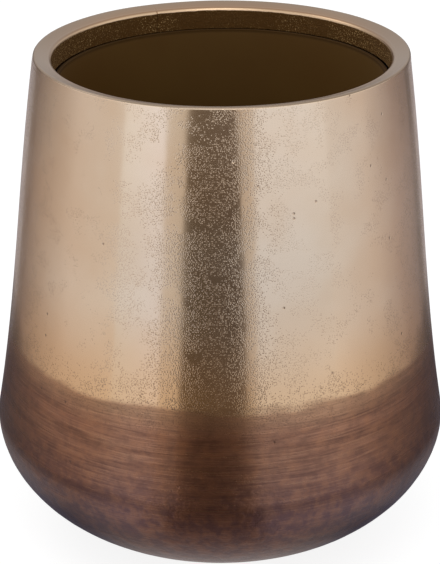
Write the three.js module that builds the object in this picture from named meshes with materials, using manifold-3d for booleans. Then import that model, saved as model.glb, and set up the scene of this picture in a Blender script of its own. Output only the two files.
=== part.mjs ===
// A tapered metal plant pot: a welded aluminium shell with a broad rim, a lift-out plastic
// liner, a drain plug and four felt pads. Millimetres, +Z up, with the origin on the floor
// at the centre of the footprint. Every round piece is turned about the Z axis.
import * as THREE from 'three';
import { mergeVertices } from 'three/addons/utils/BufferGeometryUtils.js';
import Module from 'manifold-3d';

// Outline of the shell. A slope is the growth in radius for each unit of drop. A reach is
// the length of the handle that shapes the bowl's curve at that end.
const potHeight = 526;
const rimRadius = 191;
const flankSlope = 0.146;
const shoulderRadius = 239.6;
const shoulderHeight = 136.3;
const shoulderSlope = 0.181;
const shoulderReach = 26.3;
const footRadius = 106;
const footReach = 125.6;
const footAngleDegrees = 13.8;

// Sheet of the wall and the bowl, and the weld between them, above the shoulder
const wallThickness = 4;
const collarHeight = 91.7;
const weldGap = 0.3;

// Rim ring: its top face falls inwards between two round edges, and a skirt hangs from
// its inner edge
const rimWidth = 19;
const rimFall = 3.3;
const rimEdgeRadius = 2.5;
const flangeThickness = 4.7;
const skirtDepth = 22.2;
const skirtThickness = 4;

// Butt joint of the rim ring: a narrow groove across the top face and down the skirt
const jointAzimuthDegrees = 114;
const jointGrooveWidth = 1.5;
const jointGrooveDepth = 1.2;

// Lift-out liner. It stands on the bowl's floor, and its lip has a running gap to the skirt.
const linerClearance = 1.5;
const linerDrop = 1;
const linerWall = 2.5;
const linerLipOverhang = 2;
const linerLipHeight = 8;
const linerInnerCorner = 14.5;
const linerBaseMargin = 7.5;
const linerRestGap = 0.3;

// Drain hole in the base, and the rubber plug pushed into it from below
const drainHoleRadius = 10;
const plugClearance = 0.3;
const plugRecess = 0.5;
const plugChamfer = 1;
const plugHeadOverlap = 5;
const plugFloorClearance = 1.2;

// Felt pads glued under the base
const padCount = 4;
const padRadius = 14;
const padThickness = 3;
const padMargin = 12;
const padGlueGap = 0.3;

// Faceting
const turnSegments = 72;
const smallSegments = 32;
const flankSteps = 6;
const collarSteps = 2;
const bellySteps = 11;
const edgeSteps = 4;
const lipSteps = 2;

const gold = new THREE.Color('#c2a47c');
const bronze = new THREE.Color('#74513f');
const brownPlastic = new THREE.Color('#4a3418');
const blackRubber = new THREE.Color('#1c1b1a');
const greyFelt = new THREE.Color('#4b4a48');

// Angles, heights and radii that follow from the sizes above
const footAngle = THREE.MathUtils.degToRad(footAngleDegrees);
const baseHeight = padThickness + padGlueGap;
const floorHeight = baseHeight + wallThickness;
const floorRadius = footRadius - wallThickness * Math.tan(footAngle / 2);
const seamHeight = shoulderHeight + collarHeight;
const rimInnerRadius = rimRadius - rimWidth;
const rimInnerHeight = potHeight - rimFall;
const rimSeatHeight = rimInnerHeight - flangeThickness;
const skirtBottom = rimInnerHeight - skirtDepth;
const linerBaseRadius = floorRadius - linerBaseMargin;
const padCircleRadius = footRadius - padMargin - padRadius;

function point(radius, height) {
  return new THREE.Vector2(radius, height);
}

// Outside of the wall, from the rim's seat down to the shoulder. The handles lie at thirds
// of the drop, so height falls evenly along the curve.
const flankDrop = rimSeatHeight - shoulderHeight;
const flank = new THREE.CubicBezierCurve(
  point(rimRadius, rimSeatHeight),
  point(rimRadius + (flankSlope * flankDrop) / 3, rimSeatHeight - flankDrop / 3),
  point(shoulderRadius - (shoulderSlope * flankDrop) / 3, shoulderHeight + flankDrop / 3),
  point(shoulderRadius, shoulderHeight),
);

// Outside of the bowl, from the shoulder down to the foot
const shoulderDirection = point(shoulderSlope, -1).normalize();
const belly = new THREE.CubicBezierCurve(
  point(shoulderRadius, shoulderHeight),
  point(shoulderRadius, shoulderHeight).addScaledVector(shoulderDirection, shoulderReach),
  point(
    footRadius + footReach * Math.cos(footAngle),
    baseHeight + footReach * Math.sin(footAngle),
  ),
  point(footRadius, baseHeight),
);

// Place along the flank curve of a height on the wall
function flankAt(height) {
  return (rimSeatHeight - height) / flankDrop;
}

// Points along a curve from one place to another, moved inwards from it by a distance
function trace(curve, from, to, steps, inset = 0) {
  const points = [];
  for (let i = 0; i <= steps; i += 1) {
    const place = THREE.MathUtils.lerp(from, to, i / steps);
    const tangent = curve.getTangent(place);
    const inward = point(tangent.y, -tangent.x);
    points.push(curve.getPoint(place).addScaledVector(inward, inset));
  }
  return points;
}

// Points along an arc, with its angles in degrees from the outward radius
function arc(centre, radius, from, to, steps) {
  const points = [];
  for (let i = 0; i <= steps; i += 1) {
    const angle = THREE.MathUtils.degToRad(THREE.MathUtils.lerp(from, to, i / steps));
    points.push(point(
      centre.x + radius * Math.cos(angle),
      centre.y + radius * Math.sin(angle),
    ));
  }
  return points;
}

// Turns a closed outline about Z
function turned(outline, segments) {
  const closed = [...outline, outline[0].clone()];
  const geometry = new THREE.LatheGeometry(closed, segments);
  geometry.rotateX(Math.PI / 2);
  return geometry;
}

const wasm = await Module();
wasm.setup();

function toSolid(geometry) {
  const bare = geometry.clone();
  bare.deleteAttribute('normal');
  bare.deleteAttribute('uv');
  const merged = mergeVertices(bare);
  return new wasm.Manifold(new wasm.Mesh({
    numProp: 3,
    vertProperties: new Float32Array(merged.attributes.position.array),
    triVerts: new Uint32Array(merged.index.array),
  }));
}

function toGeometry(solid) {
  const mesh = solid.getMesh();
  const geometry = new THREE.BufferGeometry();
  const positions = new Float32Array(mesh.vertProperties);
  geometry.setAttribute('position', new THREE.BufferAttribute(positions, 3));
  geometry.setIndex(new THREE.BufferAttribute(new Uint32Array(mesh.triVerts), 1));
  geometry.computeVertexNormals();
  return geometry;
}

// Height of the plane of the rim's sloping top face at a radius
function rimFaceHeight(radius) {
  const faceWidth = rimWidth - 2 * rimEdgeRadius;
  return potHeight - (rimFall * (rimRadius - rimEdgeRadius - radius)) / faceWidth;
}

// Section of the rim ring: a flange on top of the wall, and the skirt inside the mouth
function rimOutline() {
  const outerCentre = point(rimRadius - rimEdgeRadius, potHeight - rimEdgeRadius);
  const innerCentre = point(rimInnerRadius + rimEdgeRadius, rimInnerHeight - rimEdgeRadius);
  const skirtRadius = rimInnerRadius + skirtThickness;
  return [
    point(rimRadius, rimSeatHeight),
    ...arc(outerCentre, rimEdgeRadius, 0, 90, edgeSteps),
    ...arc(innerCentre, rimEdgeRadius, 90, 180, edgeSteps),
    point(rimInnerRadius, skirtBottom),
    point(skirtRadius, skirtBottom),
    point(skirtRadius, rimSeatHeight),
  ];
}

// Thin plate that cuts the joint's groove into the ring
function jointGroove() {
  const over = jointGrooveWidth;
  const outerRadius = rimRadius + over;
  const innerRadius = rimInnerRadius - over;
  const cutRadius = rimInnerRadius + jointGrooveDepth;
  const outline = new THREE.Shape([
    point(outerRadius, potHeight + over),
    point(innerRadius, potHeight + over),
    point(innerRadius, skirtBottom - over),
    point(cutRadius, skirtBottom - over),
    point(cutRadius, rimFaceHeight(cutRadius) - jointGrooveDepth),
    point(outerRadius, rimFaceHeight(outerRadius) - jointGrooveDepth),
  ]);
  const plate = new THREE.ExtrudeGeometry(outline, {
    depth: jointGrooveWidth,
    bevelEnabled: false,
  });
  plate.translate(0, 0, -jointGrooveWidth / 2);
  plate.rotateX(Math.PI / 2);
  plate.rotateZ(THREE.MathUtils.degToRad(jointAzimuthDegrees));
  return plate;
}

function rimRing() {
  const ring = toSolid(turned(rimOutline(), turnSegments));
  return toGeometry(ring.subtract(toSolid(jointGroove())));
}

// Tapered wall between the bowl's weld and the rim ring
function upperWall() {
  const bottom = flankAt(seamHeight + weldGap);
  const top = flankAt(rimSeatHeight - weldGap);
  const outside = trace(flank, bottom, top, flankSteps);
  const inside = outside.map((place) => point(place.x - wallThickness, place.y));
  return turned([...outside, ...inside.reverse()], turnSegments);
}

// Bowl with an upright collar, a round belly, a flat base and the drain hole
function lowerBowl() {
  const collar = trace(flank, 1, flankAt(seamHeight), collarSteps).slice(1);
  const collarInside = collar.map((place) => point(place.x - wallThickness, place.y));
  return turned([
    point(drainHoleRadius, baseHeight),
    ...trace(belly, 1, 0, bellySteps),
    ...collar,
    ...collarInside.reverse(),
    ...trace(belly, 0, 1, bellySteps, wallThickness).slice(0, -1),
    point(floorRadius, floorHeight),
    point(drainHoleRadius, floorHeight),
  ], turnSegments);
}

// Tapered plastic pot with a thickened lip and a flat base
function liner() {
  const lipRadius = rimInnerRadius - linerClearance;
  const lipTop = skirtBottom - linerDrop;
  const wallRadius = lipRadius - linerLipOverhang;
  const underside = floorHeight + linerRestGap;
  const outerCorner = linerInnerCorner + linerWall;
  const corner = point(linerBaseRadius, underside + outerCorner);
  const lipCorner = point(lipRadius - linerLipOverhang, lipTop - linerLipOverhang);
  return turned([
    point(0, underside),
    ...arc(corner, outerCorner, -90, 0, edgeSteps),
    point(wallRadius, lipTop - linerLipHeight),
    point(lipRadius, lipTop - linerLipHeight),
    ...arc(lipCorner, linerLipOverhang, 0, 90, lipSteps),
    point(wallRadius - linerWall, lipTop),
    ...arc(corner, linerInnerCorner, 0, -90, edgeSteps),
    point(0, underside + linerWall),
  ], turnSegments);
}

// Rubber plug: a stem in the drain hole and a thin head under the base
function drainPlug() {
  const stemRadius = drainHoleRadius - plugClearance;
  const headRadius = drainHoleRadius + plugHeadOverlap;
  const headTop = baseHeight - plugClearance;
  const stemTop = floorHeight - plugRecess;
  return turned([
    point(0, plugFloorClearance),
    point(headRadius, plugFloorClearance),
    point(headRadius, headTop),
    point(stemRadius, headTop),
    point(stemRadius, stemTop - plugChamfer),
    point(stemRadius - plugChamfer, stemTop),
    point(0, stemTop),
  ], smallSegments);
}

function feltPad() {
  return turned([
    point(0, 0),
    point(padRadius, 0),
    point(padRadius, padThickness),
    point(0, padThickness),
  ], smallSegments);
}

function namedMesh(name, geometry, material) {
  const mesh = new THREE.Mesh(geometry, material);
  mesh.name = name;
  return mesh;
}

function metal(color, roughness) {
  return new THREE.MeshStandardMaterial({ color, roughness, metalness: 1 });
}

function matt(color, roughness) {
  return new THREE.MeshStandardMaterial({ color, roughness, metalness: 0 });
}

const pot = new THREE.Group();
pot.add(namedMesh('rim_ring', rimRing(), metal(gold, 0.34)));
pot.add(namedMesh('upper_wall', upperWall(), metal(gold, 0.26)));
pot.add(namedMesh('lower_bowl', lowerBowl(), metal(bronze, 0.42)));
pot.add(namedMesh('liner', liner(), matt(brownPlastic, 0.6)));
pot.add(namedMesh('drain_plug', drainPlug(), matt(blackRubber, 0.8)));

const felt = matt(greyFelt, 1);
for (let i = 0; i < padCount; i += 1) {
  const azimuth = (2 * Math.PI * (i + 0.5)) / padCount;
  const pad = namedMesh(`felt_pad_${i + 1}`, feltPad(), felt);
  pad.position.set(padCircleRadius * Math.cos(azimuth), padCircleRadius * Math.sin(azimuth), 0);
  pot.add(pad);
}

export default pot;
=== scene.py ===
"""Builds the looks of a tapered metal plant pot around its packed CAD part."""

import math
from functools import partial

import bmesh
import bpy
from bpy.props import FloatProperty, IntProperty, PointerProperty, StringProperty
from mathutils import Euler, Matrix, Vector, noise


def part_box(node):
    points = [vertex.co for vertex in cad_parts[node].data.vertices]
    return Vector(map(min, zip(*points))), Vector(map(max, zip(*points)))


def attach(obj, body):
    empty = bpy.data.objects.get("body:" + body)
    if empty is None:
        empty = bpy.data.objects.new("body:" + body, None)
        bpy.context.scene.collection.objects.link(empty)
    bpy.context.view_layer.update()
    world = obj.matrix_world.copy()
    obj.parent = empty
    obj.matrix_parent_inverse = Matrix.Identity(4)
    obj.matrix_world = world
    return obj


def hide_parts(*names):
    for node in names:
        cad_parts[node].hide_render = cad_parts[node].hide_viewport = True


bl_info = {
    "name": "Metal Plant Pot",
    "version": (1, 0, 0),
    "blender": (4, 5, 0),
    "location": "View3D > Sidebar > Plant Pot",
    "description": "Builds a tapered metal plant pot with a rim ring, a liner, a plug and pads",
    "category": "Object",
}

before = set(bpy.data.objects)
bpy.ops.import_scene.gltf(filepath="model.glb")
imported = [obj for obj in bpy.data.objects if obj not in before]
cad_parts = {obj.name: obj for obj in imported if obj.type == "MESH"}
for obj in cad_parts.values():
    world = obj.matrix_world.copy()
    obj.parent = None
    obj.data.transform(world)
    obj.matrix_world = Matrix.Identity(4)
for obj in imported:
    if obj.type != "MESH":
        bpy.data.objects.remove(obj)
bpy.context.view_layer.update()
RIM_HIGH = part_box("rim_ring")[1]
BOWL_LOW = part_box("lower_bowl")[0]
LINER_LOW, LINER_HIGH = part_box("liner")
PLUG_LOW, PLUG_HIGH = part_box("drain_plug")
PAD_NODES = ["felt_pad_1", "felt_pad_2", "felt_pad_3", "felt_pad_4"]

MM = 0.001
FULL_TURN = 2 * math.pi


def length(name, description, millimetres):
    """A size property with its default in millimetres."""
    return FloatProperty(
        name=name, description=description, default=millimetres * MM, unit="LENGTH", precision=4
    )


def angle(name, description, degrees):
    """An angle property with its default in degrees."""
    return FloatProperty(
        name=name, description=description, default=math.radians(degrees), subtype="ANGLE"
    )


def number(name, description, default):
    """A property without a unit."""
    return FloatProperty(name=name, description=description, default=default)


def colour(name, description, default):
    """A colour property, written as an sRGB hex value."""
    return StringProperty(name=name, description=description, default=default, maxlen=7)


class ShellSizes(bpy.types.PropertyGroup):
    """Sizes of the wall and the bowl"""

    pot_height: FloatProperty(
        name="Pot height", description="Floor to the rim", default=RIM_HIGH.z, unit="LENGTH"
    )
    rim_radius: length("Rim radius", "Outside radius at the rim", 191)
    flank_slope: number("Flank slope", "Growth in radius for each drop, at the rim", 0.146)
    shoulder_radius: length("Shoulder radius", "Outside radius at the shoulder", 239.6)
    shoulder_height: length("Shoulder height", "Height where the bowl begins", 136.3)
    shoulder_slope: number("Shoulder slope", "Growth in radius at the shoulder", 0.181)
    shoulder_reach: length("Shoulder reach", "Handle of the bowl's curve at the shoulder", 26.3)
    foot_radius: length("Foot radius", "Radius of the flat base", 106)
    foot_reach: length("Foot reach", "Handle of the bowl's curve at the foot", 125.6)
    foot_angle: angle("Foot angle", "Rise of the bowl's curve at the foot", 13.8)
    wall_thickness: length("Wall thickness", "Sheet of the shell", 4)
    seam_height: length("Seam height", "Height of the weld between bowl and wall", 228)
    drain_radius: length("Drain hole radius", "Hole in the base", 10)
    dent_depth: length("Dent depth", "Waviness left by hand finishing", 0.16)
    turn_steps: IntProperty(name="Steps", description="Steps round the pot", default=400, min=24)


class RimSizes(bpy.types.PropertyGroup):
    """Sizes of the rim ring"""

    width: length("Rim width", "Width of the top face", 19)
    fall: length("Rim fall", "Drop of the top face towards the mouth", 3.3)
    edge_radius: length("Edge radius", "Rounding of the outer edge", 2.5)
    inner_edge_radius: length("Inner edge radius", "Rounding of the edge at the mouth", 4.2)
    flange_thickness: length("Flange thickness", "Depth of the ring over the wall", 4.7)
    skirt_depth: length("Skirt depth", "Depth of the skirt inside the mouth", 22.2)
    skirt_thickness: length("Skirt thickness", "Thickness of the skirt", 4)
    cast_grain: length("Cast grain", "Height of the skirt's rough casting", 0.5)
    face_wave: length("Face wave", "Waviness of the hand-ground top face", 0.25)
    face_tilt: number("Face tilt", "Rise of the top face to the right, by hand grinding", 0.008)
    skirt_tilt: number("Skirt tilt", "Rise of the skirt's lower edge to the right", 0.015)
    skirt_flash: length("Skirt flash", "Ragged casting left below the skirt", 1.8)
    joint_azimuth: angle("Joint azimuth", "Place of the butt joint", 114)
    joint_width: length("Joint width", "Width of the butt joint's groove", 1.5)
    joint_depth: length("Joint depth", "Depth of the groove down the skirt", 0.9)
    joint_face_depth: length("Joint face depth", "Depth of the groove on the top face", 0.35)
    turn_steps: IntProperty(name="Steps", description="Steps round the ring", default=720, min=24)


class LinerSizes(bpy.types.PropertyGroup):
    """Sizes of the lift-out liner"""

    wall: length("Wall", "Thickness of the plastic", 2.5)
    lip_overhang: length("Lip overhang", "How far the lip stands out", 2)
    lip_height: length("Lip height", "Height of the lip", 8)
    inner_corner: length("Inner corner", "Rounding inside the base", 14.5)
    base_margin: length("Base margin", "From the flat base to the edge of the bowl's floor", 7.5)
    lip_tilt: number("Lip tilt", "Rise of the lip to the right, as it was trimmed", 0.015)


class FootSizes(bpy.types.PropertyGroup):
    """Sizes of the drain plug and the felt pads"""

    plug_clearance: length("Plug clearance", "Gap round the plug's stem", 0.3)
    plug_chamfer: length("Plug chamfer", "Chamfer at the top of the stem", 1)
    plug_edge: length("Plug edge", "Rounding of the plug's head", 0.7)
    pad_edge: length("Pad edge", "Rounding of the felt's cut edge", 0.5)
    pad_fuzz: length("Pad fuzz", "Height of the felt's loose fibres", 0.15)


class PotFinish(bpy.types.PropertyGroup):
    """Colours of the pot, as sRGB hex values"""

    gold: colour("Gold", "Pale gold lacquer on polished aluminium", "#dac0a3")
    gold_pale: colour("Pale gold", "Lacquer where it is thin", "#dfcab1")
    gold_warm: colour("Warm gold", "Lacquer next to the patina", "#d4ac80")
    pit_dirt: colour("Pit", "Patina held in the casting pits", "#6a4c3b")
    bronze_deep: colour("Deep bronze", "Patina left thick in streaks", "#54392c")
    bronze_dark: colour("Dark bronze", "Patina between the brush strokes", "#754e3b")
    bronze: colour("Bronze", "Patina", "#8f634c")
    bronze_light: colour("Light bronze", "Metal rubbed bright by the brush", "#b38564")
    bronze_warm: colour("Warm bronze", "Spots rubbed warm", "#a3704f")
    # Painted shade: patina darkened low on the belly, standing in for the shadowed floor it reflects
    bronze_foot_shade: colour("Foot bronze", "Patina near the foot", "#5c3f3e")
    bloom: colour("Bloom", "Haze of the lacquer at the edges", "#b2bbff")
    rim_face: colour("Rim face", "Ground top face of the rim", "#907e6d")
    # Painted shade: the top face darker at the two sides
    rim_side_shade: colour("Rim side", "Top face at the two sides", "#86705c")
    rim_face_warm: colour("Warm rim face", "Top face next to the mouth", "#987b62")
    # Painted highlight on the rounded edge at the mouth, over its burnished band
    burnish_highlight: colour("Burnished edge", "Edge rubbed bright at the mouth", "#d2b595")
    raw_cast: colour("Raw casting", "Skirt inside the mouth", "#553814")
    cast_speck: colour("Casting speck", "Bright grains on the skirt", "#c8a56e")
    plastic: colour("Plastic", "Liner", "#52360c")
    plastic_faded: colour("Faded plastic", "Liner where it is scuffed", "#5a4016")
    rubber: colour("Rubber", "Drain plug", "#1c1b1a")
    felt: colour("Felt", "Pads under the base", "#4b4a48")
    felt_light: colour("Light felt", "Loose fibres of the pads", "#6a6966")


class StudioSettings(bpy.types.PropertyGroup):
    """Camera, floor and light"""

    camera_distance: length("Camera distance", "From the pot's axis", 1814.45)
    camera_height: length("Camera height", "Over the floor", 1060.4)
    camera_pitch: angle("Camera pitch", "Tilt below the horizon", 23.55)
    camera_roll: angle("Camera roll", "Turn about the line of sight", 0.24)
    camera_lens: number("Lens", "Focal length in millimetres", 118.79)
    camera_shift: number("Shift", "Sideways shift", -0.0011)
    floor_size: length("Floor size", "Half width of the floor", 9000)
    floor_colour: colour("Floor", "Plain pale floor", "#949494")
    floor_glow: number("Floor glow", "Brightness that the eye sees over the shadow", 0.86)
    world_light: number("World light", "Strength of the soft light all round", 0.7)


SETTINGS = {
    "pot_shell_sizes": ShellSizes,
    "pot_rim_sizes": RimSizes,
    "pot_liner_sizes": LinerSizes,
    "pot_foot_sizes": FootSizes,
    "pot_finish": PotFinish,
    "pot_studio": StudioSettings,
}


def linear(hex_colour, strength=1.0):
    """An sRGB hex colour as linear RGBA."""
    values = []
    for start in (1, 3, 5):
        share = int(hex_colour[start:start + 2], 16) / 255
        value = share / 12.92 if share <= 0.04045 else ((share + 0.055) / 1.055) ** 2.4
        values.append(value * strength)
    return (*values, 1.0)


def bezier(points, place):
    """Point and unit tangent on a cubic curve of four (radius, height) points."""
    a, b, c, d = (Vector(p) for p in points)
    rest = 1 - place
    spot = (
        a * rest ** 3 + b * 3 * rest ** 2 * place + c * 3 * rest * place ** 2 + d * place ** 3
    )
    slope = (
        (b - a) * 3 * rest ** 2 + (c - b) * 6 * rest * place + (d - c) * 3 * place ** 2
    )
    return spot, slope.normalized()


def arc(centre, radius, start, end, steps):
    """Points on an arc, with angles in degrees from the outward radius."""
    points = []
    for i in range(steps + 1):
        angle = math.radians(start + (end - start) * i / steps)
        points.append(
            (centre[0] + radius * math.cos(angle), centre[1] + radius * math.sin(angle))
        )
    return points


def line(start, end, steps):
    """Points from start up to, and without, end."""
    return [
        (
            start[0] + (end[0] - start[0]) * i / steps,
            start[1] + (end[1] - start[1]) * i / steps,
        )
        for i in range(steps)
    ]


def even_turn(steps):
    """Azimuths of an even full turn."""
    return [FULL_TURN * i / steps for i in range(steps)]


def rim_seat(shell, rim):
    """Height at which the ring sits on the wall."""
    return shell.pot_height - rim.fall - rim.flange_thickness


def flank_curve(shell, rim):
    """Outside of the wall, from the rim's seat down to the shoulder."""
    seat = rim_seat(shell, rim)
    third = (seat - shell.shoulder_height) / 3
    return [
        (shell.rim_radius, seat),
        (shell.rim_radius + shell.flank_slope * third, seat - third),
        (shell.shoulder_radius - shell.shoulder_slope * third, shell.shoulder_height + third),
        (shell.shoulder_radius, shell.shoulder_height),
    ]


def belly_curve(shell):
    """Outside of the bowl, from the shoulder down to the foot."""
    lean = Vector((shell.shoulder_slope, -1)).normalized() * shell.shoulder_reach
    shoulder = Vector((shell.shoulder_radius, shell.shoulder_height))
    return [
        shoulder,
        shoulder + lean,
        (
            shell.foot_radius + shell.foot_reach * math.cos(shell.foot_angle),
            BOWL_LOW.z + shell.foot_reach * math.sin(shell.foot_angle),
        ),
        (shell.foot_radius, BOWL_LOW.z),
    ]


def trace(curve, start, end, steps, inset=0.0):
    """Points along a curve between two places, moved inwards by inset."""
    points = []
    for i in range(steps + 1):
        spot, tangent = bezier(curve, start + (end - start) * i / steps)
        inward = Vector((tangent.y, -tangent.x))
        points.append(tuple(spot + inward * inset))
    return points


def smooth(low, high, value):
    """0 below low, 1 above high, with an even S between."""
    share = min(1.0, max(0.0, (value - low) / (high - low)))
    return share * share * (3 - 2 * share)


# Heights in metres between which the dimples on the bowl end, and the waves die out towards the
# rim and rise from the base
DIMPLES_END = (0.07, 0.16)
CALM_TOP = (0.495, 0.517)
CALM_BASE = (0.0035, 0.012)


def dent(shell, azimuth, radius, height):
    """Radial offset of the outside: hand-worked waves about 110 and 40 mm long, and dimples about
    14 mm wide low on the bowl."""
    x = radius * math.cos(azimuth)
    y = radius * math.sin(azimuth)
    broad = noise.noise(Vector((x * 9, y * 9, height * 6)))
    middle = noise.noise(Vector((x * 24 + 7, y * 24, height * 13)))
    dimple = noise.noise(Vector((x * 70, y * 70 + 3, height * 70 + radius * 40)))
    low = 1 - smooth(*DIMPLES_END, height)
    waves = 1.6 * broad + 0.6 * middle + (0.25 + 0.9 * low) * dimple
    return shell.dent_depth * waves * (1 - smooth(*CALM_TOP, height)) * smooth(*CALM_BASE, height)


def add_object(name, data):
    """A new object in the scene, at the origin."""
    item = bpy.data.objects.new(name, data)
    bpy.context.scene.collection.objects.link(item)
    return item


# A radius under this is on the axis, and an edge over this angle stays sharp
ON_AXIS = 1e-6
SHARP_ANGLE = math.radians(38)


def turned_mesh(name, outline, azimuths, material, closed=True, shift=None):
    """A mesh turned about Z from an outline of (radius, height) points.
    A point on the axis becomes one vertex. shift gives a vertex's offset in radius and height."""
    mesh = bpy.data.meshes.new(name)
    builder = bmesh.new()
    rings = []
    for index, (radius, height) in enumerate(outline):
        if radius < ON_AXIS:
            rings.append([builder.verts.new((0, 0, height))])
            continue
        ring = []
        for azimuth in azimuths:
            out, up = shift(index, azimuth, radius, height) if shift else (0.0, 0.0)
            reach = radius + out
            spot = (reach * math.cos(azimuth), reach * math.sin(azimuth), height + up)
            ring.append(builder.verts.new(spot))
        rings.append(ring)
    pairs = list(zip(rings, rings[1:]))
    if closed:
        pairs.append((rings[-1], rings[0]))
    count = len(azimuths)
    for low, high in pairs:
        if len(low) == 1 and len(high) == 1:
            continue
        for i in range(count):
            j = (i + 1) % count
            corners = [low[i % len(low)], low[j % len(low)], high[j % len(high)], high[i % len(high)]]
            builder.faces.new(list(dict.fromkeys(corners)))
    bmesh.ops.recalc_face_normals(builder, faces=builder.faces)
    builder.to_mesh(mesh)
    builder.free()
    mesh.polygons.foreach_set("use_smooth", [True] * len(mesh.polygons))
    mesh.set_sharp_from_angle(angle=SHARP_ANGLE)
    mesh.materials.append(material)
    return add_object(name, mesh)


def add_node(tree, kind, inputs=None, **settings):
    """Adds a node, sets its properties, and fills or links its inputs. A node that is given as
    an input is linked by its first output in use."""
    node = tree.nodes.new(f"ShaderNode{kind}")
    for name, value in settings.items():
        setattr(node, name, value)
    for name, value in (inputs or {}).items():
        if isinstance(value, bpy.types.Node):
            value = next(output for output in value.outputs if output.enabled)
        if isinstance(value, bpy.types.NodeSocket):
            tree.links.new(value, node.inputs[name])
        else:
            node.inputs[name].default_value = value
    return node


def new_material(name):
    """An empty node material, its node maker, and the object's own coordinates."""
    material = bpy.data.materials.new(name)
    material.use_nodes = True
    material.node_tree.nodes.clear()
    node = partial(add_node, material.node_tree)
    return material, node, node("TexCoord").outputs["Object"]


def close_material(material, node, relief, depth, surface):
    """Feeds the shader, with relief as its bump and surface as its other inputs, to the output.
    depth is the height in metres of a relief of 1."""
    bump = node("Bump", {"Height": relief, "Distance": depth, "Strength": 1.0})
    shader = node("BsdfPrincipled", {**surface, "Normal": bump})
    node("OutputMaterial", {"Surface": shader})
    return material


# How a share goes from one value to the next
LINEAR = "LINEAR"
SMOOTH = "SMOOTHSTEP"

SHELL_METAL = "polished_gold_and_brushed_bronze_aluminium"
# Metres across the shell for each radian of turn, as its patterns are drawn
PATTERN_RADIUS = 0.21
# Marks stretched along the metal: size in metres along X, along Y and down the pot, then detail
# and roughness of the noise
FINE_STROKES = ((0.055, 0.055, 0.0014), 4.0, 0.7)
BROAD_STROKES = ((0.14, 0.14, 0.009), 3.0, 0.6)
EDGE_WANDER = ((0.06, 0.06, 0.3), 2.0, 0.5)
# Even noises: size in metres, detail and roughness
PIT_CLUSTERS = (0.025, 3.0, 0.55)
LACQUER_PATCHES = (0.09, 3.0, 0.5)
MOTTLE = (0.013, 5.0, 0.65)
POLISH_RIPPLE = (0.02, 1.0, 0.5)
# Hollows of the casting: size of a cell in metres, and shares of it where the hollow is full and
# where it ends. That makes pits 0.8 to 1.2 mm wide and blowholes about 3 mm wide
PITS = (0.0014, 0.05, 0.5)
BLOWHOLES = (0.012, 0.04, 0.13)
BLOWHOLE_DENSITY = 0.016
# Relief in metres. Pits are deeper in the gold than under the patina
GOLD_PIT = -0.14 * MM
BRONZE_PIT = -0.06 * MM
BLOWHOLE_DEPTH = -0.4 * MM
STROKE_DEPTH = 0.035 * MM
RIPPLE_DEPTH = 0.09 * MM
DIMPLE_DEPTH = 1.2 * MM


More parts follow.
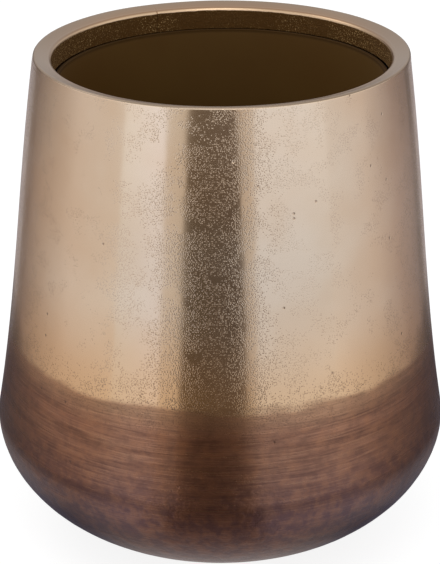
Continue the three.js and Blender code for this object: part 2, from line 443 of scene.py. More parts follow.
def shell_material(name, finish):
    """Cast and polished aluminium: pale gold lacquer above, brushed bronze patina below.
    Gold gives sharp reflections broken by fine casting pits. Bronze gives broad soft ones
    with strokes round the pot, because it was brushed on and rubbed back on a turntable.
    A thin clear lacquer over both whitens the reflections at the edges, and its faint bloom
    turns them blue."""
    material, node, place = new_material(name)
    axes = node("SeparateXYZ", {"Vector": place}).outputs
    height = axes["Z"]
    square_x = node("Math", {0: axes["X"], 1: axes["X"]}, operation="MULTIPLY")
    square_y = node("Math", {0: axes["Y"], 1: axes["Y"]}, operation="MULTIPLY")
    squares = node("Math", {0: square_x, 1: square_y}, operation="ADD")
    radius = node("Math", {0: squares}, operation="SQRT")

    # Height plus radius runs down wall and belly alike. Strokes round the pot are drawn in space,
    # and pits on the unrolled shell, in metres from the front
    along = node("Math", {0: height, 1: radius}, operation="ADD")
    sweep = node("CombineXYZ", {"X": axes["X"], "Y": axes["Y"], "Z": along})
    front = node("Math", {0: axes["Y"], 1: -1.0}, operation="MULTIPLY")
    turn = node("Math", {0: axes["X"], 1: front}, operation="ARCTAN2")
    girth = node("Math", {0: turn, 1: PATTERN_RADIUS}, operation="MULTIPLY")
    unrolled = node("CombineXYZ", {"X": girth, "Y": along})

    stretched = []
    for space, (sizes, detail, roughness) in (
        (sweep, FINE_STROKES),
        (sweep, BROAD_STROKES),
        (place, EDGE_WANDER),
    ):
        cells = node("Mapping", {"Vector": space, "Scale": [1 / size for size in sizes]})
        noise_inputs = {"Vector": cells, "Scale": 1.0, "Detail": detail, "Roughness": roughness}
        stretched.append(node("TexNoise", noise_inputs))
    fine_stroke, broad_stroke, wander = stretched
    cluster, patches, mottle, ripple = (
        node("TexNoise", {"Vector": place, "Scale": 1 / size, "Detail": detail, "Roughness": roughness})
        for size, detail, roughness in (PIT_CLUSTERS, LACQUER_PATCHES, MOTTLE, POLISH_RIPPLE)
    )

    # Pits are densest over the four gates of the mould
    across = node("Math", {0: square_x, 1: square_y}, operation="SUBTRACT")
    double_turn = node("Math", {0: across, 1: squares}, operation="DIVIDE")
    gates = node("Math", {0: double_turn, 1: double_turn}, operation="MULTIPLY")
    gated = node("Math", {0: gates, 1: 0.2, 2: cluster}, operation="MULTIPLY_ADD")
    # The patina ends on a wandering line just over the weld, with dragged strokes
    edge = node("Math", {0: wander, 1: 0.014, 2: height}, operation="MULTIPLY_ADD")
    edge = node("Math", {0: broad_stroke, 1: 0.017, 2: edge}, operation="MULTIPLY_ADD")

    # Shares: what each follows and how, between which two values, and the share at each of them.
    # Heights are in metres
    ramps = {
        "bronze": (edge, SMOOTH, 0.2415, 0.2505, 1.0, 0.0),
        # Pits hold patina most of all in the 30 mm round its edge, where there are more of them
        "held_above": (height, SMOOTH, 0.232, 0.268, 1.0, 0.36),
        "held_below": (height, SMOOTH, 0.19, 0.222, 0.3, 1.0),
        "crowd": (gated, SMOOTH, 0.52, 0.68, -0.22, 0.75),
        # Gold is thin and pale in patches high up, and warmer towards the patina
        "pale": (patches, LINEAR, 0.35, 0.65, 0.0, 1.0),
        "warm": (height, SMOOTH, 0.225, 0.34, 0.9, 0.0),
        # Patina has broad dark and middle bands, strokes rubbed bright, and thick dark streaks
        "band": (broad_stroke, LINEAR, 0.37, 0.6, 0.0, 1.0),
        "rubbed": (fine_stroke, LINEAR, 0.42, 0.75, 0.0, 0.55),
        "thick": (fine_stroke, LINEAR, 0.3, 0.46, 0.5, 0.0),
        # Spots 3 to 10 mm wide, some rubbed warm and some left dark
        "warm_spot": (mottle, LINEAR, 0.48, 0.66, 0.0, 0.45),
        "dark_spot": (mottle, LINEAR, 0.3, 0.47, 0.35, 0.0),
        # The top 30 mm is rubbed thin and shows the gold. Low on the belly it is darker, in patches:
        # painted shade of the shadowed floor that the belly reflects
        "thin": (height, SMOOTH, 0.2, 0.232, 0.0, 0.3),
        "low": (height, SMOOTH, 0.105, 0.188, 1.0, 0.0),
        "blotch": (mottle, SMOOTH, 0.38, 0.6, 1.0, 0.6),
        # Polished gold is smooth, and patina satin
        "gold_rough": (patches, LINEAR, 0.3, 0.7, 0.11, 0.16),
        "bronze_rough": (fine_stroke, LINEAR, 0.35, 0.65, 0.34, 0.25),
    }
    share = {}
    for key, (value, kind, low, high, start, end) in ramps.items():
        span = {"Value": value, "From Min": low, "From Max": high, "To Min": start, "To Max": end}
        share[key] = node("MapRange", span, interpolation_type=kind)
    held = node("Math", {0: share["held_above"], 1: share["held_below"]}, operation="MULTIPLY")
    density = node("Math", {0: held, 1: 0.6, 2: share["crowd"]}, operation="MULTIPLY_ADD")
    # Share of the painted shade low on the belly, in patches
    foot_shade_share = node("Math", {0: share["low"], 1: share["blotch"]}, operation="MULTIPLY")

    hollows = []
    for (size, full, end), many in ((PITS, density), (BLOWHOLES, BLOWHOLE_DENSITY)):
        cells = node(
            "TexVoronoi",
            {"Vector": unrolled, "Scale": 1 / size, "Randomness": 1.0},
            voronoi_dimensions="2D",
        )
        values = node("SeparateColor", {"Color": cells.outputs["Color"]}).outputs
        chosen = node("Math", {0: values["Red"], 1: many}, operation="LESS_THAN")
        span = {"Value": cells, "From Min": full, "From Max": end, "To Min": 1.0, "To Max": 0.0}
        hollow = node("MapRange", span, interpolation_type=SMOOTH)
        hollows.append((node("Math", {0: hollow, 1: chosen}, operation="MULTIPLY"), values["Green"]))
    (pit, own_depth), (blowhole, _) = hollows
    pit = node("Math", {0: pit, 1: own_depth}, operation="MULTIPLY")

    # Colours, each laid over the one before it
    gold = linear(finish.gold)
    for part, layer in ((share["pale"], finish.gold_pale), (share["warm"], finish.gold_warm)):
        gold = node("Mix", {"Factor": part, "A": gold, "B": linear(layer)}, data_type="RGBA")
    patina = linear(finish.bronze_dark)
    for part, layer in (
        (share["band"], finish.bronze),
        (share["rubbed"], finish.bronze_light),
        (share["thick"], finish.bronze_deep),
        (share["warm_spot"], finish.bronze_warm),
        (share["dark_spot"], finish.bronze_deep),
        (share["thin"], finish.gold_warm),
        (foot_shade_share, finish.bronze_foot_shade),
    ):
        patina = node("Mix", {"Factor": part, "A": patina, "B": linear(layer)}, data_type="RGBA")
    # Patina stays in the pits, and they are rough
    any_pit = node("Math", {0: pit, 1: blowhole}, operation="MAXIMUM")
    dirt = node("Math", {0: any_pit, 1: held}, operation="MULTIPLY")
    colours = node("Mix", {"Factor": share["bronze"], "A": gold, "B": patina}, data_type="RGBA")
    colours = node(
        "Mix", {"Factor": dirt, "A": colours, "B": linear(finish.pit_dirt)}, data_type="RGBA"
    )
    rough = node(
        "Mix", {"Factor": share["bronze"], "A": share["gold_rough"], "B": share["bronze_rough"]}
    )
    rough = node("Math", {0: dirt, 1: 0.2, 2: rough}, operation="MULTIPLY_ADD")

    # Relief in metres
    pit_depth = node(
        "MapRange", {"Value": share["bronze"], "To Min": GOLD_PIT, "To Max": BRONZE_PIT}
    )
    stroke_depth = node("Math", {0: share["bronze"], 1: STROKE_DEPTH}, operation="MULTIPLY")
    dimple_depth = node("Math", {0: share["low"], 1: DIMPLE_DEPTH}, operation="MULTIPLY")
    relief = node("Math", {0: pit, 1: pit_depth}, operation="MULTIPLY")
    for pattern, depth in (
        (blowhole, BLOWHOLE_DEPTH),
        (fine_stroke, stroke_depth),
        (ripple, RIPPLE_DEPTH),
        (mottle, dimple_depth),
    ):
        relief = node("Math", {0: pattern, 1: depth, 2: relief}, operation="MULTIPLY_ADD")
    surface = {
        "Base Color": colours,
        "Metallic": 1.0,
        "Roughness": rough,
        "Coat Weight": 0.3,
        "Coat Roughness": 0.14,
        "Sheen Weight": 0.06,
        "Sheen Roughness": 0.35,
        "Sheen Tint": linear(finish.bloom),
    }
    return close_material(material, node, relief, 1.0, surface)


# Sizes in metres on the ring: grit of the sand, the wander of the raw edge, and worn patches
GRIT = 0.0014
RAW_WANDER = 0.012
WORN_PATCHES = 0.05
# Relief of the ground face and of the raw skirt, in metres
FACE_GRIT = 0.02 * MM
SKIRT_GRIT = 0.9 * MM


def rim_material(name, finish, rim):
    """Cast aluminium ring: a ground top face under a worn lacquer, and a skirt left raw from the
    sand and stained dark. The face is an even satin, the skirt dull and gritty."""
    material, node, place = new_material(name)
    axes = node("SeparateXYZ", {"Vector": place}).outputs
    flat = node("CombineXYZ", {"X": axes["X"], "Y": axes["Y"]})
    radius = node("VectorMath", {0: flat}, operation="LENGTH").outputs["Value"]
    # Height over the tilted face, so that the raw zone keeps its width
    height = node("Math", {0: axes["X"], 1: -rim.face_tilt, 2: axes["Z"]}, operation="MULTIPLY_ADD")
    grit = node("TexNoise", {"Vector": place, "Scale": 1 / GRIT, "Detail": 2.0, "Roughness": 0.6})
    wander = node("TexNoise", {"Vector": place, "Scale": 1 / RAW_WANDER, "Detail": 3.0})
    patches = node("TexNoise", {"Vector": place, "Scale": 1 / WORN_PATCHES, "Detail": 3.0})
    edge = node("Math", {0: wander, 1: 0.0012, 2: height}, operation="MULTIPLY_ADD")
    # Square of the distance to the middle plane, which is large at the two sides
    side = node("Math", {0: axes["X"], 1: axes["X"]}, operation="MULTIPLY")
    sided = node("Math", {0: side, 1: 12.0, 2: patches}, operation="MULTIPLY_ADD")

    # Shares: what each follows and how, between which two values, and the share at each of them.
    # Heights and radii are in metres
    ramps = {
        "raw": (edge, SMOOTH, 0.5192, 0.5204, 1.0, 0.0),
        # Bright grains 1 mm wide, where the stain has worn off, most of all at the two sides
        "grains": (grit, SMOOTH, 0.57, 0.68, 0.0, 1.0),
        "worn": (sided, SMOOTH, 0.5, 0.75, 0.1, 0.85),
        # The face is warmer towards the mouth, and greyer at the sides as painted shade. Its edge at
        # the mouth is rubbed bright, with a painted highlight that fades towards the sides
        "inward": (radius, LINEAR, 0.175, 0.189, 1.0, 0.0),
        "aside": (side, SMOOTH, 0.012, 0.036, 0.0, 1.0),
        "rubbed": (radius, LINEAR, 0.1724, 0.1735, 1.0, 0.0),
    }
    share = {}
    for key, (value, kind, low, high, start, end) in ramps.items():
        span = {"Value": value, "From Min": low, "From Max": high, "To Min": start, "To Max": end}
        share[key] = node("MapRange", span, interpolation_type=kind)
    raw = share["raw"]
    speck = node("Math", {0: share["grains"], 1: share["worn"]}, operation="MULTIPLY")
    cast = node(
        "Mix",
        {"Factor": speck, "A": linear(finish.raw_cast), "B": linear(finish.cast_speck)},
        data_type="RGBA",
    )
    # Painted highlight: the bright edge at the mouth fades out at the two sides
    highlight_kept = node("MapRange", {"Value": share["aside"], "To Min": 1.0, "To Max": 0.15})
    rubbed = node("Math", {0: share["rubbed"], 1: highlight_kept}, operation="MULTIPLY")
    face = linear(finish.rim_face)
    for part, layer in (
        (share["inward"], finish.rim_face_warm),
        (share["aside"], finish.rim_side_shade),
        (rubbed, finish.burnish_highlight),
    ):
        face = node("Mix", {"Factor": part, "A": face, "B": linear(layer)}, data_type="RGBA")
    colours = node("Mix", {"Factor": raw, "A": face, "B": cast}, data_type="RGBA")
    rough = node("MapRange", {"Value": raw, "To Min": 0.3, "To Max": 0.75})
    metal = node("MapRange", {"Value": raw, "To Min": 1.0, "To Max": 0.0})
    depth = node("MapRange", {"Value": raw, "To Min": FACE_GRIT, "To Max": SKIRT_GRIT})
    relief = node("Math", {0: grit, 1: depth}, operation="MULTIPLY")
    surface = {
        "Base Color": colours,
        "Metallic": metal,
        "Roughness": rough,
        "Specular IOR Level": 0.15,
    }
    return close_material(material, node, relief, 1.0, surface)


# Painted shade along the liner's lip, under the skirt: it ends this far under the lip's top, and is
# full at the second height
LIP_SHADE = (0.004, 0.0015)


def plastic_material(name, finish, sizes):
    """Moulded polypropylene: even dark brown and almost matt, with a faint orange peel, and a painted
    shade along the lip, which is also rougher there."""
    material, node, place = new_material(name)
    axes = node("SeparateXYZ", {"Vector": place}).outputs
    height = node("Math", {0: axes["X"], 1: -sizes.lip_tilt, 2: axes["Z"]}, operation="MULTIPLY_ADD")
    lip_shade = node(
        "MapRange",
        {"Value": height, "From Min": LINER_HIGH.z - LIP_SHADE[0], "From Max": LINER_HIGH.z - LIP_SHADE[1]},
    )
    peel = node("TexNoise", {"Vector": place, "Scale": 1 / 0.003, "Detail": 2.0})
    cloudy = node("TexNoise", {"Vector": place, "Scale": 1 / 0.09, "Detail": 3.0})
    shade = node("MapRange", {"Value": cloudy, "From Min": 0.3, "From Max": 0.7, "To Max": 0.6})
    colours = node(
        "Mix",
        {"Factor": shade, "A": linear(finish.plastic), "B": linear(finish.plastic_faded)},
        data_type="RGBA",
    )
    # Painted shade: darker plastic along the lip
    colours = node(
        "Mix", {"Factor": lip_shade, "A": colours, "B": linear(finish.plastic, 0.6)}, data_type="RGBA"
    )
    rough = node(
        "MapRange",
        {"Value": cloudy, "From Min": 0.3, "From Max": 0.7, "To Min": 0.62, "To Max": 0.72},
    )
    rough = node("Math", {0: lip_shade, 1: 0.25, 2: rough}, operation="MULTIPLY_ADD")
    surface = {
        "Base Color": colours,
        "IOR": 1.49,
        "Specular IOR Level": 0.22,
        "Roughness": rough,
    }
    return close_material(material, node, peel, 0.06 * MM, surface)


def rubber_material(name, finish):
    """Moulded black rubber: matt and slightly grainy."""
    material, node, place = new_material(name)
    grain = node("TexNoise", {"Vector": place, "Scale": 1 / 0.0012, "Detail": 3.0})
    shade = node(
        "Mix",
        {"Factor": grain, "A": linear(finish.rubber, 0.7), "B": linear(finish.rubber, 1.4)},
        data_type="RGBA",
    )
    surface = {"Base Color": shade, "IOR": 1.52, "Roughness": 0.78}
    return close_material(material, node, grain, 0.08 * MM, surface)


def felt_material(name, finish):
    """Pressed wool felt: soft grey, with fibres that catch the light at the edge."""
    material, node, place = new_material(name)
    fibre = node(
        "TexNoise",
        {"Vector": place, "Scale": 1 / 0.0011, "Detail": 5.0, "Roughness": 0.7, "Distortion": 1.2},
    )
    shade = node(
        "Mix",
        {"Factor": fibre, "A": linear(finish.felt, 0.7), "B": linear(finish.felt_light)},
        data_type="RGBA",
    )
    surface = {
        "Base Color": shade,
        "Roughness": 0.95,
        "Sheen Weight": 0.35,
        "Sheen Roughness": 0.5,
    }
    return close_material(material, node, fibre, 0.3 * MM, surface)


# Steps round the liner, and round the plug and the pads
LINER_STEPS = 240
SMALL_STEPS = 96


def shared_material(maker, name, *settings):
    """The material of that name, made the first time it is asked for."""
    return bpy.data.materials.get(name) or maker(name, *settings)


# Columns of the mesh over the butt joint, in half widths of its groove. The even columns that
# are nearer than the last value are left out
JOINT_COLUMNS = (-1.4, -1, -0.6, 0, 0.6, 1, 1.4)
JOINT_CLEAR = 1.6
# A height or radius that differs by less than this is the same
HAIR = 1e-5
# Fades on the ring in metres: of the face's waves over the seat, of the rough casting under the
# edge at the mouth, and of the joint's groove over the face
FACE_FADE = 3 * MM
CAST_FADE = 5 * MM
GROOVE_FADE = (5 * MM, 12 * MM)
# Waves of the face in each metre. Lumps of the casting in each metre, and their share of its height
FACE_WAVES = 14
CAST_LUMPS = ((420, 0.6), (90, 0.8))


class POT_OT_rim_ring(bpy.types.Operator):
    """Build the cast rim ring with its skirt and butt joint"""

    bl_idname = "plant_pot.rim_ring"
    bl_label = "Rim Ring"

    def execute(self, context):
        scene = context.scene
        shell = scene.pot_shell_sizes
        rim = scene.pot_rim_sizes
        seat = rim_seat(shell, rim)
        inner = shell.rim_radius - rim.width
        outside = inner + rim.skirt_thickness
        bottom = shell.pot_height - rim.fall - rim.skirt_depth - rim.skirt_flash
        edge = rim.edge_radius
        inner_edge = rim.inner_edge_radius
        nose = 0.7 * MM
        edge_height = shell.pot_height - edge
        lean = math.degrees(math.atan(shell.flank_slope))
        outer_radius = shell.rim_radius - shell.flank_slope * (edge_height - seat)
        outer_centre = (outer_radius - edge, edge_height)
        inner_centre = (inner + inner_edge, shell.pot_height - rim.fall - inner_edge)
        # The wall's polish runs up the ring's upright face and into its outer edge
        rounding = arc(outer_centre, edge, lean, 90, 8)
        polished = [*line((shell.rim_radius, seat), (outer_radius, edge_height), 3), *rounding[:2]]
        face_end = (inner_centre[0], inner_centre[1] + inner_edge)
        outline = [
            *polished,
            *rounding[2:],
            *line((outer_centre[0], shell.pot_height), face_end, 10)[1:],
            *arc(inner_centre, inner_edge, 90, 180, 10),
            *line((inner, inner_centre[1]), (inner, bottom + nose), 22)[1:],
            *arc((inner + nose, bottom + nose), nose, 180, 270, 3),
            *arc((outside - nose, bottom + nose), nose, 270, 360, 3),
            *line((outside, bottom + nose), (outside, seat), 6)[1:],
            (outside, seat),
        ]
        joint = rim.joint_azimuth
        half = rim.joint_width / (2 * inner)
        clear = JOINT_CLEAR * half
        azimuths = [azimuth for azimuth in even_turn(rim.turn_steps) if abs(azimuth - joint) > clear]
        azimuths = sorted(azimuths + [joint + half * share for share in JOINT_COLUMNS])

        def cast(index, azimuth, radius, height):
            """Grit on the skirt, slow waves on the face, and the butt joint's groove."""
            x = radius * math.cos(azimuth)
            y = radius * math.sin(azimuth)
            out = 0.0
            up = 0.0
            over_seat = height > seat + HAIR
            in_skirt = radius < outside + HAIR
            if over_seat:
                wave = noise.noise(Vector((x * FACE_WAVES, y * FACE_WAVES, 1.7)))
                up = rim.face_wave * wave + rim.face_tilt * x
                up *= smooth(seat, seat + FACE_FADE, height)
            elif in_skirt:
                up = rim.skirt_tilt * x * (1 - smooth(bottom + 1 * MM, seat, height))
            if in_skirt and height < inner_centre[1]:
                lumps = sum(
                    part * noise.noise(Vector((x * many, y * many, height * many)))
                    for many, part in CAST_LUMPS
                )
                rough = rim.cast_grain * lumps * smooth(0, CAST_FADE, inner_centre[1] - height)
                if radius < inner + HAIR:
                    out = rough
                elif height < bottom + nose:
                    up += rough
            notch = 1 - smooth(half * 0.3, half * 1.1, abs(azimuth - joint))
            if radius < inner + inner_edge * 0.4:
                out += rim.joint_depth * notch
            elif over_seat:
                over_face = smooth(inner + GROOVE_FADE[0], inner + GROOVE_FADE[1], radius)
                up -= rim.joint_face_depth * notch * (1 - over_face)
            return out, up

        ground = shared_material(
            rim_material, "ground_and_raw_cast_aluminium", scene.pot_finish, rim
        )
        polish = shared_material(shell_material, SHELL_METAL, scene.pot_finish)
        piece = turned_mesh("pot_rim_ring", outline, azimuths, ground, shift=cast)
        piece.data.materials.append(polish)
        for face in piece.data.polygons[:len(polished) * len(azimuths)]:
            face.material_index = 1
        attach(piece, "pot")
        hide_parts("rim_ring")
        return {"FINISHED"}


# Rows of faces down the outside and the inside of each part of the shell
WALL_ROWS = (130, 20)
COLLAR_ROWS = (40, 10)
BELLY_ROWS = (120, 50)
# Radii of the rings of faces on the flat underside
UNDER_RINGS = (30 * MM, 50 * MM, 70 * MM, 90 * MM)


class POT_OT_shell(bpy.types.Operator):
    """Build the tapered wall and the bowl under it"""

    bl_idname = "plant_pot.shell"
    bl_label = "Wall and Bowl"

    def execute(self, context):
        scene = context.scene
        shell = scene.pot_shell_sizes
        rim = scene.pot_rim_sizes
        seat = rim_seat(shell, rim)
        drop = seat - shell.shoulder_height
        seam_place = (seat - shell.seam_height) / drop
        flank = flank_curve(shell, rim)
        belly = belly_curve(shell)
        thick = shell.wall_thickness
        azimuths = even_turn(shell.turn_steps)
        material = shared_material(shell_material, SHELL_METAL, scene.pot_finish)

        outside = trace(flank, seam_place, 0, WALL_ROWS[0])
        inside = [(r - thick, z) for r, z in trace(flank, 0, seam_place, WALL_ROWS[1])]
        worked = len(outside)

        def work(index, azimuth, radius, height):
            """Waves on the outside only."""
            return (dent(shell, azimuth, radius, height) if index < worked else 0.0), 0.0

        wall = turned_mesh("pot_upper_wall", outside + inside, azimuths, material, shift=work)
        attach(wall, "pot")
        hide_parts("upper_wall")

        floor_height = BOWL_LOW.z + thick
        collar = trace(flank, 1, seam_place, COLLAR_ROWS[0])[1:]
        inner_collar = trace(flank, 1, seam_place, COLLAR_ROWS[1])[1:]
        outside = [*trace(belly, 1, 0, BELLY_ROWS[0]), *collar]
        inside = [
            *[(r - thick, z) for r, z in reversed(inner_collar)],
            *trace(belly, 0, 1, BELLY_ROWS[1], thick)[:-1],
            (shell.foot_radius - thick * math.tan(shell.foot_angle / 2), floor_height),
        ]
        hole = shell.drain_radius
        burr = 0.4 * MM
        base = [
            (hole + burr, floor_height),
            (hole, floor_height - burr),
            (hole, BOWL_LOW.z + burr),
            (hole + burr, BOWL_LOW.z),
        ]
        under = [(radius, BOWL_LOW.z) for radius in UNDER_RINGS]
        worked = len(outside)
        bowl = turned_mesh(
            "pot_lower_bowl", outside + inside + base + under, azimuths, material, shift=work
        )
        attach(bowl, "pot")
        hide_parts("lower_bowl")
        return {"FINISHED"}


# Length of the liner's wall over which the lip's tilt fades out
TILT_FADE = 150 * MM


class POT_OT_liner(bpy.types.Operator):
    """Build the lift-out plastic liner"""

    bl_idname = "plant_pot.liner"
    bl_label = "Liner"

    def execute(self, context):
        scene = context.scene
        shell = scene.pot_shell_sizes
        sizes = scene.pot_liner_sizes
        underside = LINER_LOW.z
        lip_top = LINER_HIGH.z
        lip_radius = LINER_HIGH.x
        wall_radius = lip_radius - sizes.lip_overhang
        outer_corner = sizes.inner_corner + sizes.wall
        floor_edge = shell.foot_radius - shell.wall_thickness * math.tan(shell.foot_angle / 2)
        corner = (floor_edge - sizes.base_margin, underside + outer_corner)
        lip_bottom = lip_top - sizes.lip_height
        rounding = 0.8 * MM
        roll = (wall_radius, lip_top - sizes.lip_overhang)
        crown = (wall_radius - sizes.wall / 2, lip_top - sizes.wall / 2)
        outline = [
            (0, underside),
            (corner[0] / 2, underside),
            *arc(corner, outer_corner, -90, -2, 12),
            *line((corner[0] + outer_corner, corner[1]), (wall_radius, lip_bottom), 40)[1:],
            (wall_radius, lip_bottom),
            (lip_radius - rounding, lip_bottom),
            (lip_radius, lip_bottom + rounding),
            *arc(roll, sizes.lip_overhang, 0, 60, 6),
            *arc(crown, sizes.wall / 2, 60, 178, 8),
            *line(
                (wall_radius - sizes.wall, crown[1]),
                (corner[0] + sizes.inner_corner, corner[1]),
                40,
            )[1:],
            *arc(corner, sizes.inner_corner, 0, -90, 12),
            (corner[0] / 2, underside + sizes.wall),
            (0, underside + sizes.wall),
        ]
        material = shared_material(
            plastic_material, "moulded_brown_polypropylene", scene.pot_finish, sizes
        )

        def trim(index, azimuth, radius, height):
            """The lip's tilt, which fades out down the wall."""
            fade = smooth(lip_bottom - TILT_FADE, lip_bottom, height)
            return 0.0, sizes.lip_tilt * radius * math.cos(azimuth) * fade

        piece = turned_mesh(
            "pot_liner", outline, even_turn(LINER_STEPS), material, closed=False, shift=trim
        )
        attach(piece, "liner")
        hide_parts("liner")
        return {"FINISHED"}


# A shallow round hollow in the plug's underside: its depth, its floor's radius and its edge's
PLUG_HOLLOW = (0.6 * MM, 6 * MM, 7 * MM)


class POT_OT_plug(bpy.types.Operator):
    """Build the rubber plug in the drain hole"""

    bl_idname = "plant_pot.plug"
    bl_label = "Drain Plug"

    def execute(self, context):
        scene = context.scene
        shell = scene.pot_shell_sizes
        sizes = scene.pot_foot_sizes
        edge = sizes.plug_edge
        chamfer = sizes.plug_chamfer
        rounding = 0.5 * MM
        hollow, hollow_floor, hollow_edge = PLUG_HOLLOW
        low = PLUG_LOW.z
        top = PLUG_HIGH.z
        head = PLUG_HIGH.x
        stem = shell.drain_radius - sizes.plug_clearance
        head_top = BOWL_LOW.z - sizes.plug_clearance
        outline = [
            (0, low + hollow),
            (hollow_floor, low + hollow),
            (hollow_edge, low),
            *arc((head - edge, low + edge), edge, -90, 0, 5),
            *arc((head - rounding, head_top - rounding), rounding, 0, 90, 4),
            (stem + rounding, head_top),
            (stem, head_top + rounding),
            (stem, top - chamfer),
            (stem - chamfer, top),
            (0, top),
        ]
        material = shared_material(rubber_material, "moulded_black_rubber", scene.pot_finish)
        piece = turned_mesh(
            "pot_drain_plug", outline, even_turn(SMALL_STEPS), material, closed=False
        )
        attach(piece, "plug")
        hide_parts("drain_plug")
        return {"FINISHED"}


class POT_OT_pads(bpy.types.Operator):
    """Build the felt pads under the base"""

    bl_idname = "plant_pot.pads"
    bl_label = "Felt Pads"

    def execute(self, context):
        scene = context.scene
        sizes = scene.pot_foot_sizes
        material = shared_material(felt_material, "pressed_grey_felt", scene.pot_finish)
        edge = sizes.pad_edge
        for number, node in enumerate(PAD_NODES):
            low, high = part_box(node)
            radius = (high.x - low.x) / 2
            centre = Vector(((low.x + high.x) / 2, (low.y + high.y) / 2, 0))
            outline = [
                (0, low.z),
                (radius * 0.5, low.z),
                *arc((radius - edge, low.z + edge), edge, -90, 0, 4),
                *line((radius, low.z + edge), (radius, high.z - edge), 4)[1:],
                *arc((radius - edge, high.z - edge), edge, 0, 90, 4),
                (radius * 0.5, high.z),
                (0, high.z),
            ]

            def fuzz(index, azimuth, reach, height):
                """Loose fibres at the cut edge."""
                if reach < radius - edge * 1.01:
                    return 0.0, 0.0
                spot = Vector((math.cos(azimuth) * 9, math.sin(azimuth) * 9, height * 900 + number))
                return sizes.pad_fuzz * (noise.noise(spot) - 0.5), 0.0

            piece = turned_mesh(
                f"pot_{node}", outline, even_turn(SMALL_STEPS), material, closed=False, shift=fuzz
            )
            piece.data.transform(piece.matrix_world.Translation(centre))
            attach(piece, "pot")
            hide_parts(node)
        return {"FINISHED"}


# Reflection cards round the pot: name, first and last azimuth in degrees from the camera,
# positive to the right, colour at each end, and how much of it is left at the top, and low down
# at each end
CARDS = (
    ("left_edge", -165, -133, "#aea6a4", "#a39b99", 1.0, 0.8, 0.8),
    ("left_slit", -133, -122, "#877b74", "#847871", 1.0, 0.8, 0.8),
    ("left_flag", -122, -104, "#8f817a", "#b3a7a0", 1.0, 0.8, 0.8),
    ("left_side", -104, -78, "#b3a7a0", "#d6cfcd", 1.0, 0.8, 1.0),
    ("left_wing", -78, -49.5, "#d6cfcd", "#dcd8d7", 1.0, 1.0, 1.35),
    ("left_softbox", -49.5, -27, "#dfe3ea", "#e5e9f8", 1.18, 1.35, 1.6),
    ("left_fill", -27, -4, "#cec8c3", "#c8c0b7", 1.06, 1.7, 1.7),
    ("right_fill", -4, 16, "#b4ada8", "#c9c4c1", 1.1, 1.0, 1.0),
    ("right_softbox", 16, 54, "#dbe2f0", "#dadee7", 1.2, 1.45, 1.7),
    ("right_wing", 54, 80, "#dcdee5", "#d1cccd", 1.05, 1.6, 0.75),
    ("right_side", 80, 105, "#d1cccd", "#ab9f9e", 1.0, 0.75, 0.75),
    ("right_flag", 105, 127, "#ab9f9e", "#8f8482", 1.0, 0.65, 0.65),
    ("right_slit", 127, 137, "#7d7470", "#7d7470", 1.0, 0.75, 0.75),
    ("right_edge", 137, 165, "#9f9693", "#b9b0b0", 1.0, 0.8, 0.8),
    ("back_card", 165, 195, "#c4bdba", "#c4bdba", 1.1, 0.8, 0.8),
)
# The dark strip hangs just inside the others, and widens towards the floor
DARK_STRIP = ("front_flag", -15.8, 6.5, "#554b40", "#554d48", 1.7, 3.5, 3.0)
STRIP_LEAN = (-2.5, 6.5)
STRIP_INSET = 0.005

# Section of every card, from the top down and in over the floor: radius and height in metres, strength,
# and shares of the top's change, of the low end's, and of the tone at the pot's foot. Over the floor
# the cards are dimmer and turn to that tone: a painted shadow of the pot on the floor, seen only in the
# gloss
CARD_SECTION = (
    (0.75, 0.64, 1.35, 1.0, 0.0, 0.0),
    (0.75, 0.56, 1.0, 1.0, 0.0, 0.0),
    (0.75, 0.40, 1.0, 0.75, 0.0, 0.0),
    (0.75, 0.26, 1.0, 0.0, 0.0, 0.0),
    (0.75, 0.20, 1.0, 0.0, 0.0, 0.0),
    (0.75, 0.10, 1.0, 0.0, 0.25, 0.0),
    (0.75, 0.03, 1.0, 0.0, 0.4, 0.0),
    (0.75, 0.001, 0.66, 0.0, 1.0, 0.0),
    (0.60, 0.001, 0.43, 0.0, 1.0, 0.0),
    (0.50, 0.001, 0.42, 0.0, 1.0, 0.0),
    (0.33, 0.001, 0.9, 0.0, 1.0, 0.3),
    (0.22, 0.001, 1.4, 0.0, 1.0, 1.0),
    (0.12, 0.001, 1.1, 0.0, 1.0, 1.0),
)
# Tone of the painted shadow of the pot on the floor, in the cards over the floor
CARD_FOOT_SHADOW = "#9c9592"
CARD_STRENGTH = 1.15
# Degrees to either side of the camera between which the cards darken at the top, and the painted shadow
# at the foot is tinted and darkens, and how much is lost
TOP_SIDES = (70, 125)
TINT_SIDES = (30, 70)
FOOT_SIDES = (15, 60)
TOP_LOSS = 0.28
FOOT_LOSS = 0.82
COOL_TINT = (1.0, 1.05, 1.45, 1.0)
# Degrees of turn that one face of a card spans
CARD_STEP = 3


# Lamps: name, place in metres, side of the square in metres, power in watts
LAMPS = (
    ("front_softbox", (0.0, -0.95, 1.75), 0.9, 4.0),
    ("side_softbox", (-1.2, 0.4, 1.7), 0.8, 3.0),
)
LAMP_TARGET = (0, 0, 0.35)
# Range in metres over which the camera sees
CAMERA_NEAR = 0.05
CAMERA_FAR = 60


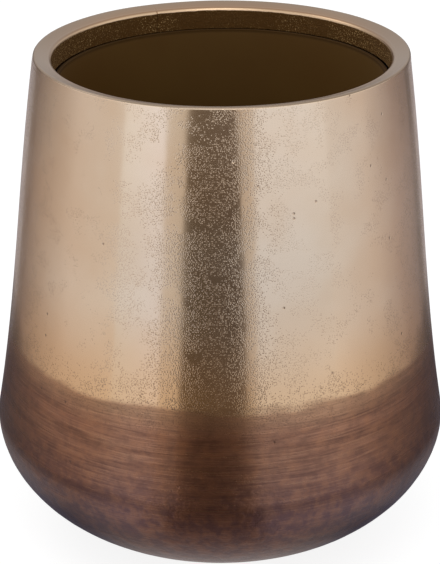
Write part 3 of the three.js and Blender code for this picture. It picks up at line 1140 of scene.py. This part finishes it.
class POT_OT_stage(bpy.types.Operator):
    """Build the floor, the studio light and the camera"""

    bl_idname = "plant_pot.stage"
    bl_label = "Stage"

    def execute(self, context):
        scene = context.scene
        studio = scene.pot_studio
        self.make_floor(studio)
        self.make_cards()
        self.make_world(scene, studio)
        self.make_lamps()
        self.make_camera(scene, studio)
        scene.view_settings.view_transform = "Standard"
        return {"FINISHED"}

    def seen(self, node):
        """1 for rays from the camera, from gloss and through glass."""
        path = node("LightPath").outputs
        gloss = node(
            "Math", {0: path["Is Glossy Ray"], 1: path["Is Transmission Ray"]}, operation="MAXIMUM"
        )
        return node("Math", {0: path["Is Camera Ray"], 1: gloss}, operation="MAXIMUM")

    def make_floor(self, studio):
        """A plain pale floor, brighter to the eye than the light makes it."""
        size = studio.floor_size
        mesh = bpy.data.meshes.new("floor")
        corners = [(-size, -size, 0), (size, -size, 0), (size, size, 0), (-size, size, 0)]
        mesh.from_pydata(corners, [], [(0, 1, 2, 3)])
        material, node, _ = new_material("painted_studio_floor")
        paint = node("BsdfDiffuse", {"Color": linear(studio.floor_colour)})
        lift = node("Math", {0: self.seen(node), 1: studio.floor_glow}, operation="MULTIPLY")
        glow = node("Emission", {"Color": (1, 1, 1, 1), "Strength": lift})
        node("OutputMaterial", {"Surface": node("AddShader", {0: paint, 1: glow})})
        mesh.materials.append(material)
        floor = add_object("floor", mesh)

    def make_cards(self):
        """Pale and dark cards that curve round the pot and show only in its gloss."""
        material, node, _ = new_material("studio_card")
        tone = node("Attribute", attribute_name="tone").outputs["Color"]
        glow = node("Emission", {"Color": tone, "Strength": CARD_STRENGTH})
        node("OutputMaterial", {"Surface": glow})
        for card in CARDS:
            self.make_card(material, card, (0.0, 0.0), 0.0)
        self.make_card(material, DARK_STRIP, STRIP_LEAN, STRIP_INSET)

    def make_card(self, material, card, lean, inset):
        """One card. lean moves its first and last edge towards the floor, in degrees."""
        name, start, end, first, last, high, first_low, last_low = card
        top = CARD_SECTION[0][1]
        rows = len(CARD_SECTION)
        steps = max(2, round((end - start) / CARD_STEP))
        corners = []
        tones = []
        for i in range(steps + 1):
            share = i / steps
            low = first_low + (last_low - first_low) * share
            for radius, height, strength, high_share, low_share, foot_shade_share in CARD_SECTION:
                sink = 1 - height / top
                edges = (start + lean[0] * sink, end + lean[1] * sink)
                azimuth = edges[0] + (edges[1] - edges[0]) * share
                angle = math.radians(azimuth)
                away = radius - inset
                corners.append((away * math.sin(angle), -away * math.cos(angle), height + inset))
                side = abs(azimuth)
                top_change = high - 1 - TOP_LOSS * smooth(*TOP_SIDES, side)
                shade = strength * (1 + top_change * high_share) * (1 + (low - 1) * low_share)
                aside = smooth(*TINT_SIDES, side)
                # Painted shadow of the pot on the floor: the tone at the foot darkens towards the sides
                footing = strength * (1.0 - FOOT_LOSS * smooth(*FOOT_SIDES, side))
                for a, b, tint, foot in zip(linear(first), linear(last), COOL_TINT, linear(CARD_FOOT_SHADOW)):
                    tone = (a + (b - a) * share) * shade
                    foot_shadow_tone = foot * (1 + (tint - 1) * aside) * footing
                    tones.append(tone * (1 - foot_shade_share) + foot_shadow_tone * foot_shade_share)
        faces = [
            (rows * i + j, rows * i + j + 1, rows * (i + 1) + j + 1, rows * (i + 1) + j)
            for i in range(steps)
            for j in range(rows - 1)
        ]
        mesh = bpy.data.meshes.new(f"card_{name}")
        mesh.from_pydata(corners, [], faces)
        layer = mesh.color_attributes.new("tone", "FLOAT_COLOR", "POINT")
        layer.data.foreach_set("color", tones)
        mesh.materials.append(material)
        piece = add_object(f"card_{name}", mesh)
        for ray in ("camera", "diffuse", "shadow", "transmission"):
            setattr(piece, f"visible_{ray}", False)

    def make_world(self, scene, studio):
        """White to the eye and in gloss, and a plain soft light."""
        world = bpy.data.worlds.new("studio")
        scene.world = world
        world.use_nodes = True
        world.node_tree.nodes.clear()
        node = partial(add_node, world.node_tree)
        strength = node(
            "MapRange", {"Value": self.seen(node), "To Min": studio.world_light, "To Max": 1.0}
        )
        sky = node("Background", {"Color": (1, 1, 1, 1), "Strength": strength})
        node("OutputWorld", {"Surface": sky})

    def make_lamps(self):
        """Two softboxes overhead."""
        for name, place, size, power in LAMPS:
            data = bpy.data.lights.new(name, "AREA")
            data.shape = "SQUARE"
            data.size = size
            data.energy = power
            lamp = add_object(name, data)
            lamp.location = place
            aim = Vector(LAMP_TARGET) - Vector(place)
            lamp.rotation_euler = aim.to_track_quat("-Z", "Y").to_euler()

    def make_camera(self, scene, studio):
        """Camera at the photograph's viewing angle."""
        data = bpy.data.cameras.new("camera")
        data.lens = studio.camera_lens
        data.shift_x = studio.camera_shift
        data.clip_start = CAMERA_NEAR
        data.clip_end = CAMERA_FAR
        camera = add_object("camera", data)
        camera.location = (0, -studio.camera_distance, studio.camera_height)
        tilt = Euler((math.pi / 2 - studio.camera_pitch, 0, 0)).to_matrix()
        roll = Euler((0, 0, studio.camera_roll)).to_matrix()
        camera.rotation_euler = (tilt @ roll).to_euler()
        scene.camera = camera


class POT_PT_panel(bpy.types.Panel):
    """Lists the pot's pieces and the stage"""

    bl_idname = "POT_PT_panel"
    bl_label = "Plant Pot"
    bl_space_type = "VIEW_3D"
    bl_region_type = "UI"
    bl_category = "Plant Pot"

    def draw(self, context):
        for operator in OPERATORS:
            self.layout.operator(operator.bl_idname)
        for name, group in SETTINGS.items():
            box = self.layout.box()
            box.label(text=group.__doc__)
            settings = getattr(context.scene, name)
            for field in group.__annotations__:
                box.prop(settings, field)


OPERATORS = (POT_OT_rim_ring, POT_OT_shell, POT_OT_liner, POT_OT_plug, POT_OT_pads, POT_OT_stage)
CLASSES = (*SETTINGS.values(), *OPERATORS, POT_PT_panel)


def register():
    """Registers the classes, and hangs the settings on the scene."""
    for item in CLASSES:
        bpy.utils.register_class(item)
    for name, group in SETTINGS.items():
        setattr(bpy.types.Scene, name, PointerProperty(type=group))


def unregister():
    """Undoes register."""
    for name in SETTINGS:
        delattr(bpy.types.Scene, name)
    for item in reversed(CLASSES):
        bpy.utils.unregister_class(item)


def main():
    """Builds every piece and the stage."""
    register()
    bpy.ops.plant_pot.rim_ring()
    bpy.ops.plant_pot.shell()
    bpy.ops.plant_pot.liner()
    bpy.ops.plant_pot.plug()
    bpy.ops.plant_pot.pads()
    bpy.ops.plant_pot.stage()


if __name__ == "__main__":
    main()
